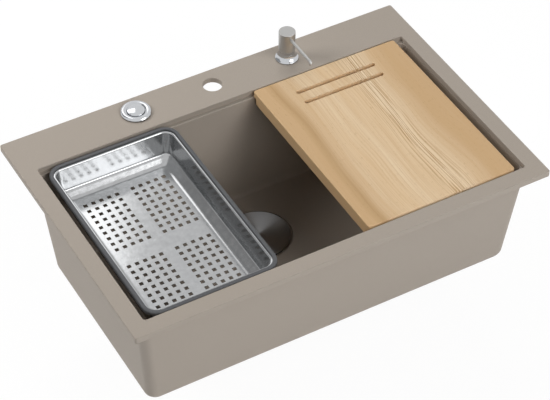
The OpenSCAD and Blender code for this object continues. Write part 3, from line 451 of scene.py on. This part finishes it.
def soften(bm, edges, offset, segments=4, between=None):
    """Bevels a loop of edges; between limits it to the edges that lie between two x values."""
    if between:
        low, high = between[0] * MM, between[1] * MM
        edges = [e for e in edges if all(low < v.co.x < high for v in e.verts)]
    bmesh.ops.bevel(bm, geom=edges, affect="EDGES", offset=offset * MM, segments=segments, profile=0.5,
                    material=-1, clamp_overlap=True, loop_slide=True)


def fill(bm, *loops):
    """Fills the flat space between an outer loop and the holes in it."""
    edges = [e for loop in loops for e in loop]
    bmesh.ops.triangle_fill(bm, use_beauty=True, use_dissolve=False, edges=edges)


def finish(bm, name, body, node, slot, smooth=32, cut=None, wall=0.0):
    """Welds, points the faces outwards and makes the object that stands for the CAD node.

    A wall thickens an open sheet downwards or inwards; cut is an object whose shape is taken away.
    """
    bmesh.ops.remove_doubles(bm, verts=bm.verts, dist=2e-6)
    bmesh.ops.recalc_face_normals(bm, faces=bm.faces)
    if wall:
        bmesh.ops.solidify(bm, geom=bm.faces, thickness=wall * MM)
        bmesh.ops.recalc_face_normals(bm, faces=bm.faces)
    mesh = bpy.data.meshes.new(name)
    bm.to_mesh(mesh)
    bm.free()
    piece = bpy.data.objects.new(name, mesh)
    scene.collection.objects.link(piece)
    if cut:
        boolean = piece.modifiers.new("cut", "BOOLEAN")
        boolean.operation, boolean.object, boolean.solver = "DIFFERENCE", cut, "EXACT"
        bpy.context.view_layer.update()
        evaluated = piece.evaluated_get(bpy.context.evaluated_depsgraph_get())
        mesh = bpy.data.meshes.new_from_object(evaluated)
        piece.modifiers.clear()
        piece.data = mesh
        bpy.data.objects.remove(cut)
    mesh.materials.clear()
    mesh.materials.append(MATERIALS[slot])
    for face in mesh.polygons:
        face.use_smooth = True
    mesh.set_sharp_from_angle(angle=math.radians(smooth))
    normals = piece.modifiers.new("normals", "WEIGHTED_NORMAL")
    normals.keep_sharp = True
    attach(piece, body)
    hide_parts(node)
    return piece


def turned(name, body, node, slot, centre, profile, steps=96, smooth=40, uv=None):
    """Spins a profile of (radius, z) or (radius, z, rounding) round the upright axis at centre."""
    bm = bmesh.new()
    points = [(bm.verts.new(Vector((centre[0] + p[0], centre[1], p[1])) * MM), p) for p in profile]
    line = [v for v, _ in points]
    for a, b in zip(line, line[1:]):
        bm.edges.new((a, b))
    if profile[0][0] > 0:
        bm.edges.new((line[-1], line[0]))
    for v, p in points:
        if len(p) == 3:
            bmesh.ops.bevel(bm, geom=[v], affect="VERTICES", offset=p[2] * MM, segments=6, profile=0.5,
                            material=-1)
    axis = Vector((centre[0], centre[1], 0)) * MM
    bmesh.ops.spin(bm, geom=bm.verts[:] + bm.edges[:], cent=axis, axis=(0, 0, 1), dvec=(0, 0, 0),
                   angle=2 * math.pi, steps=steps, use_merge=True)
    piece = finish(bm, name, body, node, slot, smooth)
    if uv:
        ring_uv(piece, axis, uv)


def ring_uv(piece, axis, name):
    """A UV map whose u runs once round the axis and whose v is the distance from it in metres."""
    layer = piece.data.uv_layers.new(name=name)
    for face in piece.data.polygons:
        spots = [piece.data.vertices[v].co - axis for v in face.vertices]
        turns = [math.atan2(p.y, p.x) / (2 * math.pi) for p in spots]
        known = [t for t, p in zip(turns, spots) if p.xy.length > 1e-6]
        for t, p, loop in zip(turns, spots, face.loop_indices):
            if p.xy.length <= 1e-6:
                t = sum(known) / len(known)
            elif max(known) - min(known) > 0.5 and t < 0:
                t += 1
            layer.data[loop].uv = (t, p.xy.length)


# ---------------------------------------------------------------- the sink
# Half sizes and places in millimetres. The worktop is at z 0.
FLANGE_X, FLANGE_Y, FLANGE_T, FLANGE_R = 390, 255, 11, 4
SEAT_W, DECK_UNDER_Z = 12, 1
GROOVE_FAR, GROOVE_NEAR, GROOVE_T = 9, 3, 1.5
RIM_X, RIM_Y0, RIM_Y1, RIM_R = 359.5, -225, 169, 4
LEDGE_Z, LEDGE_W, SIDE_LEDGE_W, LEDGE_END, BOWL_R = 1, 7, 0.25, 346, 12
SHELL_X, SHELL_Y0, SHELL_Y1, SHELL_Z, SHELL_R = 368.5, -227, 174, -214, 18
FLOOR_Z, RECESS_Z, SEAT_Z = -202, -205, -208
RECESS_R, WASTE_R, HOLE_R = 61, 45, 17.5
OVERFLOW_X, OVERFLOW_Z, OVERFLOW_R = 250, -35, 13
WASTE = (-6, 41)
KNOB, TAP, PUMP = (-150, 217), (0, 217), (150, 217)
# The walls lean until they touch the round of the shell's foot, whose centre is 36 in and 197 down.
LEAN = math.atan2(36, 197) - math.asin(SHELL_R / math.hypot(36, 197))


def make_sink():
    bm = bmesh.new()

    def flange(inset, z, r=FLANGE_R):
        return -FLANGE_X + inset, FLANGE_X - inset, -FLANGE_Y + inset, FLANGE_Y - inset, r, z

    def rim(inset, z, r=RIM_R):
        return -RIM_X + inset, RIM_X - inset, RIM_Y0 + inset, RIM_Y1 - inset, r, z

    def bowl(inset, z):
        side, end = SIDE_LEDGE_W + inset, LEDGE_W + inset
        return -RIM_X + side, RIM_X - side, RIM_Y0 + end, RIM_Y1 - end, BOWL_R, z

    def shell(inset, r, z):
        return -SHELL_X + inset, SHELL_X - inset, SHELL_Y0 + inset, SHELL_Y1 - inset, r, z

    # Underside of the flange, the groove of its seal, its edge and the start of its top.
    *seat, low, high, top = walls(bm, [
        flange(SEAT_W, DECK_UNDER_Z), flange(SEAT_W, 0), flange(GROOVE_FAR, 0), flange(GROOVE_FAR, GROOVE_T),
        flange(GROOVE_NEAR, GROOVE_T), flange(GROOVE_NEAR, 0), flange(0, 0), flange(0, FLANGE_T),
        flange(3, FLANGE_T, r=2.5),
    ])
    # Rim, ledges, leaning walls, floor, recess and waste hole, and on under the bowl to the flange.
    lip, brow, _, edge, foot = walls(bm, [
        rim(-3, FLANGE_T, r=7), rim(0, FLANGE_T), rim(0, LEDGE_Z), bowl(0, LEDGE_Z),
        bowl((LEDGE_Z - FLOOR_Z) * math.tan(LEAN), FLOOR_Z),
    ], cuts=8)
    recess = [circle(bm, *WASTE, r, z) for r, z in (
        (RECESS_R + 4, RECESS_Z), (RECESS_R, RECESS_Z), (RECESS_R, SEAT_Z), (WASTE_R, SEAT_Z),
        (WASTE_R, SHELL_Z),
    )]
    keel, neck, collar = walls(bm, [
        shell((DECK_UNDER_Z - SHELL_Z) * math.tan(LEAN), SHELL_R, SHELL_Z), shell(0, SHELL_R, DECK_UNDER_Z),
        shell(-4, SHELL_R + 2, DECK_UNDER_Z),
    ], cuts=8)
    bridge(bm, foot, *recess, keel)
    # The three holes through the deck.
    holes = [[circle(bm, x, y, r, z) for r, z in (
        (HOLE_R + 1.5, FLANGE_T), (HOLE_R, FLANGE_T), (HOLE_R, DECK_UNDER_Z),
    )] for x, y in (KNOB, TAP, PUMP)]
    for hole in holes:
        bridge(bm, *hole)
    fill(bm, top, lip, *(hole[0] for hole in holes))
    fill(bm, seat[0], collar, *(hole[2] for hole in holes))
    # Every edge with its radius: flange, rim, bowl floor, waste recess, shell and holes.
    for loop, radius, segments in (
        (low, 0.5, 2), (high, 1.5, 4), (brow, 1.5, 4), (foot, 11, 8),
        (recess[1], 0.8, 3), (recess[2], 0.5, 2), (recess[3], 0.5, 2),
        (keel, 17, 8), (neck, 2, 3), *((hole[1], 1, 3) for hole in holes),
    ):
        soften(bm, loop, radius, segments)
    # The inner edge of the front and rear ledges, away from the corners.
    soften(bm, edge, 2.2, 4, between=(-LEDGE_END, LEDGE_END))
    # The overflow hole is square to the leaning rear wall.
    cutter = bmesh.new()
    middle = Vector((OVERFLOW_X, RIM_Y1 - LEDGE_W + OVERFLOW_Z * math.tan(LEAN), OVERFLOW_Z)) * MM
    place = Matrix.Translation(middle) @ Matrix.Rotation(math.pi / 2 - LEAN, 4, "X")
    bmesh.ops.create_cone(cutter, cap_ends=True, segments=64, radius1=OVERFLOW_R * MM, radius2=OVERFLOW_R * MM,
                          depth=40 * MM, matrix=place)
    shape = bpy.data.meshes.new("overflow_cut")
    cutter.to_mesh(shape)
    cutter.free()
    tool = bpy.data.objects.new("overflow_cut", shape)
    scene.collection.objects.link(tool)
    finish(bm, "sink_moulding", "sink", "sink_bowl", "granite", cut=tool)


# ---------------------------------------------------------------- the colander tray
# The tray's middle and half sizes over its edging, its heights, and its four blocks of holes.
TRAY_X, TRAY_Y, TRAY_W, TRAY_D = -228, -28, 121, 194
LIP_Z, SHELF_Z, TRAY_FLOOR_Z, SHEET_T = 5, -41, -52, 1
HOLE_PITCH, HOLE_SIDE, HOLE_SHIFT, HOLES_X, HOLES_Y = 14.85, 7, 3, 5, 9


def tray_section(inset, r, z):
    w, d = TRAY_W - inset, TRAY_D - inset
    return TRAY_X - w, TRAY_X + w, TRAY_Y - d, TRAY_Y + d, r, z


def make_tray():
    """One pressed sheet: lip, rolled fold, wall, shelf, slope and pierced floor, then its thickness."""
    bm = bmesh.new()
    levels = [(1.5, 26, LIP_Z), (11.5, 16, LIP_Z), (15.5, 13, SHELF_Z), (19.5, 10, SHELF_Z - 2),
              (30.5, 8, TRAY_FLOOR_Z), (37, 6, TRAY_FLOOR_Z)]
    rings = walls(bm, [tray_section(*level) for level in levels], corner=12)
    half = HOLE_SIDE / 2
    hole = outline(bm, -half, half, -half, half, 0.5, TRAY_FLOOR_Z, corner=2)
    corners = list({v for e in hole for v in e.verts})
    edges = list(rings[-1])
    for across in (-1, 1):
        for along in (-1, 1):
            for i in range(1, HOLES_X + 1):
                for j in range(1, HOLES_Y + 1):
                    made = bmesh.ops.duplicate(bm, geom=corners + hole)["geom"]
                    verts = [g for g in made if isinstance(g, bmesh.types.BMVert)]
                    move = Vector((TRAY_X + across * i * HOLE_PITCH,
                                   TRAY_Y + along * (j + 0.5) * HOLE_PITCH - HOLE_SHIFT, 0)) * MM
                    bmesh.ops.translate(bm, verts=verts, vec=move)
                    edges += [g for g in made if isinstance(g, bmesh.types.BMEdge)]
    bmesh.ops.delete(bm, geom=corners, context="VERTS")
    fill(bm, edges)
    _, fold, shelf, slope, foot, _ = rings
    for loop, radius, segments in ((fold, 2.6, 6), (shelf, 2.1, 4), (slope, 2.1, 4), (foot, 5, 6)):
        soften(bm, loop, radius, segments)
    bmesh.ops.recalc_face_normals(bm, faces=bm.faces)
    floor = min(bm.faces, key=lambda f: f.calc_center_median().z)
    if floor.normal.z < 0:
        bmesh.ops.reverse_faces(bm, faces=bm.faces)
    bmesh.ops.solidify(bm, geom=bm.faces[:], thickness=SHEET_T * MM)
    finish(bm, "colander_pressing", "tray", "colander_tray", "brushed_sheet")


def make_edging():
    """Once round the section of the strip, with the slot that grips the lip."""
    bm = bmesh.new()
    section = [(3.6, 1), (0, 1), (0, 8), (7.3, 8), (7.3, 5), (1.3, 5), (1.3, 4), (7.3, 4), (7.3, 1)]
    rings = walls(bm, [tray_section(inset, 27.5 - inset, z) for inset, z in section + section[:1]], corner=12)
    for k, radius, segments in ((1, 0.6, 2), (2, 2.6, 5), (3, 0.8, 3), (4, 0.3, 1), (7, 0.3, 1), (8, 0.6, 2)):
        soften(bm, rings[k], radius, segments)
    finish(bm, "edging_strip", "tray", "tray_edging", "soft_grey")


# ---------------------------------------------------------------- the board
BOARD_X0, BOARD_X1, BOARD_Y0, BOARD_Y1, BOARD_Z = 53, 341, -222, 166, 12
REBATE_W, REBATE_Z = 7, 1
SLOT_X0, SLOT_X1, SLOT_R, SLOT_ROWS = 117, 277, 4, (125, 96)


def make_board():
    """A plank with rebated ends that hang on the ledges, and two slots through it."""
    bm = bmesh.new()

    def board(inset, end, r, z):
        return BOARD_X0 + inset, BOARD_X1 - inset, BOARD_Y0 + inset + end, BOARD_Y1 - inset - end, r, z

    upper, top_edge, _, _, low_edge, lower = walls(bm, [
        board(3, 0, 3, BOARD_Z), board(0, 0, 5, BOARD_Z), board(0, 0, 5, REBATE_Z),
        board(0.05, REBATE_W, 5, REBATE_Z), board(0.05, REBATE_W, 5, -BOARD_Z), board(3, REBATE_W, 3, -BOARD_Z),
    ])
    slots = []
    for y in SLOT_ROWS:
        # A radius a hair under half the width keeps a short straight end for the bevel.
        slots.append(walls(bm, [
            (SLOT_X0 - out, SLOT_X1 + out, y - SLOT_R - out, y + SLOT_R + out, SLOT_R - 0.01 + out, z)
            for out, z in ((1.2, BOARD_Z), (0, BOARD_Z), (0, -BOARD_Z), (1.2, -BOARD_Z))
        ]))
    fill(bm, upper, *(slot[0] for slot in slots))
    fill(bm, lower, *(slot[-1] for slot in slots))
    slot_edges = [slot[k] for slot in slots for k in (1, 2)]
    for loop, radius in ((top_edge, 1.6), (low_edge, 1.2), *((loop, 0.9) for loop in slot_edges)):
        soften(bm, loop, radius, 3)
    finish(bm, "board", "board", "chopping_board", "wood")


# ---------------------------------------------------------------- the turned pieces and the spout
def thread(r, low, high, pitch, depth):
    """The outline of a thread, from low to high."""
    out = []
    z = low
    while z + pitch <= high:
        out += [(r - depth, z), (r, z + 0.35 * pitch), (r, z + 0.55 * pitch), (r - depth, z + 0.9 * pitch)]
        z += pitch
    return out + [(r, high)]


def make_knob():
    """A domed ring on a threaded sleeve, and the button that sinks into it."""
    r, z, h = 27.5, 12, 5.2
    bore, sleeve = 15.8, 17.2
    turned("knob_bezel", "sink", "knob_ring", "chrome", KNOB, [
        (bore, -30), *thread(sleeve, -30, 0.8, 1.5, 0.5), (sleeve, z), (r - 1.2, z, 0.3), (r, z + 1.2, 0.9),
        (r - 2.4, z + 4.6, 1.8), (r - 7.2, z + h, 2.2), (r - 11.1, z + 0.62 * h, 0.4), (bore, z + 0.5 * h),
    ])
    turned("knob_cap", "knob", "knob_button", "chrome", KNOB, [
        (0, 4), (15.5, 4, 0.5), (15.5, 16.45, 0.6), (7.7, 19, 7.0), (0, 19),
    ])


def make_dispenser():
    """The flared foot on its threaded shank, the neck above it, and the capped head over the neck."""
    turned("dispenser_bell", "sink", "dispenser_foot", "chrome", PUMP, [
        (11, -45), *thread(13.5, -45, 1.0, 1.5, 0.5), (13.5, 2), (17.2, 2), (17.2, 12), (21, 12, 0.4),
        (21, 13.2, 0.4), (14.1, 18.3, 5.8), (14.1, 24.4, 0.25), (12.55, 24.4), (12.55, 18.4), (11, 18.4),
    ])
    turned("dispenser_neck", "sink", "dispenser_collar", "chrome", PUMP, [
        (11, 18.4), (12.5, 18.4), (12.5, 24.4), (14.1, 24.4, 0.2), (14.1, 39, 0.4), (11, 39, 0.4),
    ])
    turned("pump_cap", "head", "pump_head", "satin_steel", PUMP, [
        (0, 51), (14.4, 51), (14.4, 32, 0.2), (15, 32, 0.3), (15, 71, 0.8), (0, 71),
    ])


def make_spout():
    """A thin tube: straight out of the head, then a quarter bend down."""
    bm = bmesh.new()
    z, start, bend, reach, tube_r, tube_wall = 61, 14.2, 5, 78.25, 2.75, 0.8
    mouth = Vector((PUMP[0], PUMP[1] - start, z)) * MM
    place = Matrix.Translation(mouth) @ Matrix.Rotation(math.pi / 2, 4, "X")
    made = bmesh.ops.create_circle(bm, segments=32, radius=tube_r * MM, matrix=place)
    made = bmesh.ops.extrude_edge_only(bm, edges=edges_of(made["verts"]))["geom"]
    end = [g for g in made if isinstance(g, bmesh.types.BMVert)]
    bmesh.ops.translate(bm, verts=end, vec=Vector((0, start - reach, 0)) * MM)
    bmesh.ops.spin(bm, geom=end + edges_of(end), cent=Vector((PUMP[0], PUMP[1] - reach, z - bend)) * MM,
                   axis=(1, 0, 0), dvec=(0, 0, 0), angle=math.pi / 2, steps=10)
    finish(bm, "spout_tube", "head", "pump_spout", "satin_steel", smooth=50, wall=tube_wall)


def make_cover():
    """The disc over the waste, a little dished, with the boss that holds it on the strainer."""
    z = FLOOR_Z
    turned("waste_disc", "strainer", "waste_cover", "turned_steel", WASTE, [
        (0, z - 0.6), (20, z - 0.6, 12), (50, z, 3), (57.5, z, 1.8), (57.5, z - 2.2), (56.5, z - 2.2),
        (56.5, z - 1.05, 0.8), (9, z - 1.6), (9, z - 7), (4.05, z - 7), (4.05, z - 2), (0, z - 2),
    ], uv="turned")


def make_spring(name, body, node, centre, r, wire, low, high, turns):
    """A coil of round wire, wound upwards."""
    bm = bmesh.new()
    steps = turns * 24
    foot = Vector((centre[0], centre[1], low)) * MM
    place = Matrix.Translation(foot + Vector((r, 0, wire / 2)) * MM) @ Matrix.Rotation(math.pi / 2, 4, "X")
    bmesh.ops.create_circle(bm, segments=12, radius=wire / 2 * MM, matrix=place)
    bmesh.ops.spin(bm, geom=bm.verts[:] + bm.edges[:], cent=foot, axis=(0, 0, 1),
                   dvec=(0, 0, (high - low - wire) / steps * MM), angle=2 * math.pi * turns, steps=steps)
    bmesh.ops.holes_fill(bm, edges=[e for e in bm.edges if e.is_boundary], sides=0)
    piece = finish(bm, name, body, node, "plain_steel", smooth=60)
    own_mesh(piece)


make_sink()
make_tray()
make_edging()
make_board()
make_knob()
make_dispenser()
make_spout()
make_cover()
make_spring("button_return_coil", "sink", "knob_spring", KNOB, 10, 1.4, -52.7, 3.7, 7)
make_spring("pump_return_coil", "pump", "pump_spring", PUMP, 5, 1.0, -18.7, 3.7, 6)


# ---------------------------------------------------------------- camera
def toward(turn, height):
    """The direction that lies turn degrees from the front towards the right, height degrees up."""
    turn, height = math.radians(turn), math.radians(height)
    return Vector((math.sin(turn) * math.cos(height), -math.cos(turn) * math.cos(height), math.sin(height)))


# The focal length and the frame's width in pixels, the sensor's width in millimetres, the eye in metres.
FOCAL_PX, FRAME_PX, SENSOR = 2098.0, 550, 36
EYE = (-1.28970, -2.25270, 2.41827)
roll = math.radians(0.4235)
back = toward(-29.8581, 43.9889)
right = (-back).cross(Vector((0, 0, 1))).normalized()
up = right.cross(-back)
side = right * math.cos(roll) + up * math.sin(roll)
top = up * math.cos(roll) - right * math.sin(roll)
camera = bpy.data.objects.new("camera", bpy.data.cameras.new("camera"))
camera.data.lens = FOCAL_PX / FRAME_PX * SENSOR
camera.data.sensor_width = SENSOR
camera.data.clip_end = 50
camera.matrix_world = Matrix((
    (side.x, top.x, back.x, EYE[0]),
    (side.y, top.y, back.y, EYE[1]),
    (side.z, top.z, back.z, EYE[2]),
    (0, 0, 0, 1),
))
scene.collection.objects.link(camera)
scene.camera = camera


# ---------------------------------------------------------------- lamps
def lamp(name, turn, height, size, power, lights=True, in_metal=True, away_by=3.0, target=(0, 0, 0)):
    """A soft box, in the direction toward(turn, height) from its target.

    lights says that it lights the surfaces, and in_metal that metal mirrors it.
    """
    away = toward(turn, height)
    data = bpy.data.lights.new(name, "AREA")
    data.shape = "RECTANGLE"
    data.size, data.size_y, data.energy = size[0], size[1], power
    light = bpy.data.objects.new(name, data)
    light.location = Vector(target) + away * away_by
    light.rotation_euler = away.to_track_quat("Z", "Y").to_euler()
    light.visible_diffuse = lights
    light.visible_glossy = in_metal
    scene.collection.objects.link(light)


lamp("front right window", 30, 37, (1.7, 1.7), 41)
lamp("front", -4, 24, (1.8, 1.2), 20, in_metal=False)
lamp("left rear", 236, 34, (1.4, 1.2), 42, in_metal=False)
lamp("rear", 172, 42, (2.6, 1.4), 39, in_metal=False)
lamp("above", 0, 90, (1.4, 1.4), 2, in_metal=False)
# A small card that only metal sees brightens the left of the tray's floor.
lamp("tray card", 152, 44, (0.5, 0.45), 1.1, lights=False, away_by=1.2, target=(-0.54, 0.19, -0.05))


# ---------------------------------------------------------------- background, screen and floor
def in_view(tree):
    """1 for rays of the camera and for what metal and clear plastic show, 0 for light on surfaces."""
    path = add(tree, "ShaderNodeLightPath")
    seen = add(tree, "ShaderNodeMath", {
        0: path.outputs["Is Camera Ray"], 1: path.outputs["Is Glossy Ray"],
    }, operation="ADD")
    seen = add(tree, "ShaderNodeMath", {
        0: seen.outputs[0], 1: path.outputs["Is Transmission Ray"],
    }, operation="ADD")
    return seen.outputs[0]


def backdrop(name, size, material, place=Matrix()):
    """A flat square of the studio; size is half its side in metres."""
    bm = bmesh.new()
    bmesh.ops.create_grid(bm, x_segments=1, y_segments=1, size=size, matrix=place)
    mesh = bpy.data.meshes.new(name)
    bm.to_mesh(mesh)
    bm.free()
    mesh.materials.append(material)
    sheet = bpy.data.objects.new(name, mesh)
    scene.collection.objects.link(sheet)
    return sheet


# The background is white in view, and lights nothing.
world = bpy.data.worlds.new("studio")
world.use_nodes = True
scene.world = world
tree = world.node_tree
tree.nodes.clear()
background = add(tree, "ShaderNodeBackground", {"Color": WHITE, "Strength": in_view(tree)})
add(tree, "ShaderNodeOutputWorld", {"Surface": background.outputs[0]})

# A screen that only metal sees, at the rear left: the dark side of the tray's right wall and the knob.
felt, tree, at = blank("screen_felt_grey")
# Fibres of 3 mm.
fibres = add(tree, "ShaderNodeTexNoise", {"Vector": at, "Scale": 1 / (3 * MM), "Detail": 2.0})
nap = add(tree, "ShaderNodeMix", {
    0: fibres.outputs[0], 6: lin("#9C9C9C"), 7: lin("#ACACAC"),
}, data_type="RGBA")
shine = add(tree, "ShaderNodeEmission", {"Color": nap.outputs[2], "Strength": 1.0})
add(tree, "ShaderNodeOutputMaterial", {"Surface": shine.outputs[0]})
away = toward(216, 38)
facing = away.to_track_quat("Z", "Y").to_matrix().to_4x4()
screen = backdrop("grey_screen", 0.75, felt, Matrix.Translation(away * 2.2) @ facing)
screen.visible_camera = screen.visible_diffuse = screen.visible_shadow = False

# The floor is mostly white in view, with some of the object's shadow.
paper, tree, at = blank("studio_floor_white")
# Paper fibres of 2.5 mm.
specks = add(tree, "ShaderNodeTexNoise", {"Vector": at, "Scale": 1 / (2.5 * MM), "Detail": 2.0})
faint = add(tree, "ShaderNodeMapRange", {"Value": specks.outputs[0], "To Max": 0.05})
base = add(tree, "ShaderNodeMix", {
    0: faint.outputs[0], 6: lin("#FDFDFD"), 7: lin("#F2F2F2"),
}, data_type="RGBA")
sheet = add(tree, "ShaderNodeBsdfPrincipled", {"Base Color": base.outputs[2], "Roughness": 0.9})
glow = add(tree, "ShaderNodeEmission", {"Color": WHITE, "Strength": 1.02})
share = add(tree, "ShaderNodeMath", {0: in_view(tree), 1: 0.92}, operation="MULTIPLY")
blend = add(tree, "ShaderNodeMixShader", {0: share.outputs[0], 1: sheet.outputs[0], 2: glow.outputs[0]})
add(tree, "ShaderNodeOutputMaterial", {"Surface": blend.outputs[0]})
floor = backdrop("floor", 6, paper)
floor.location.z = cad_box[0][2] - 0.5 * MM
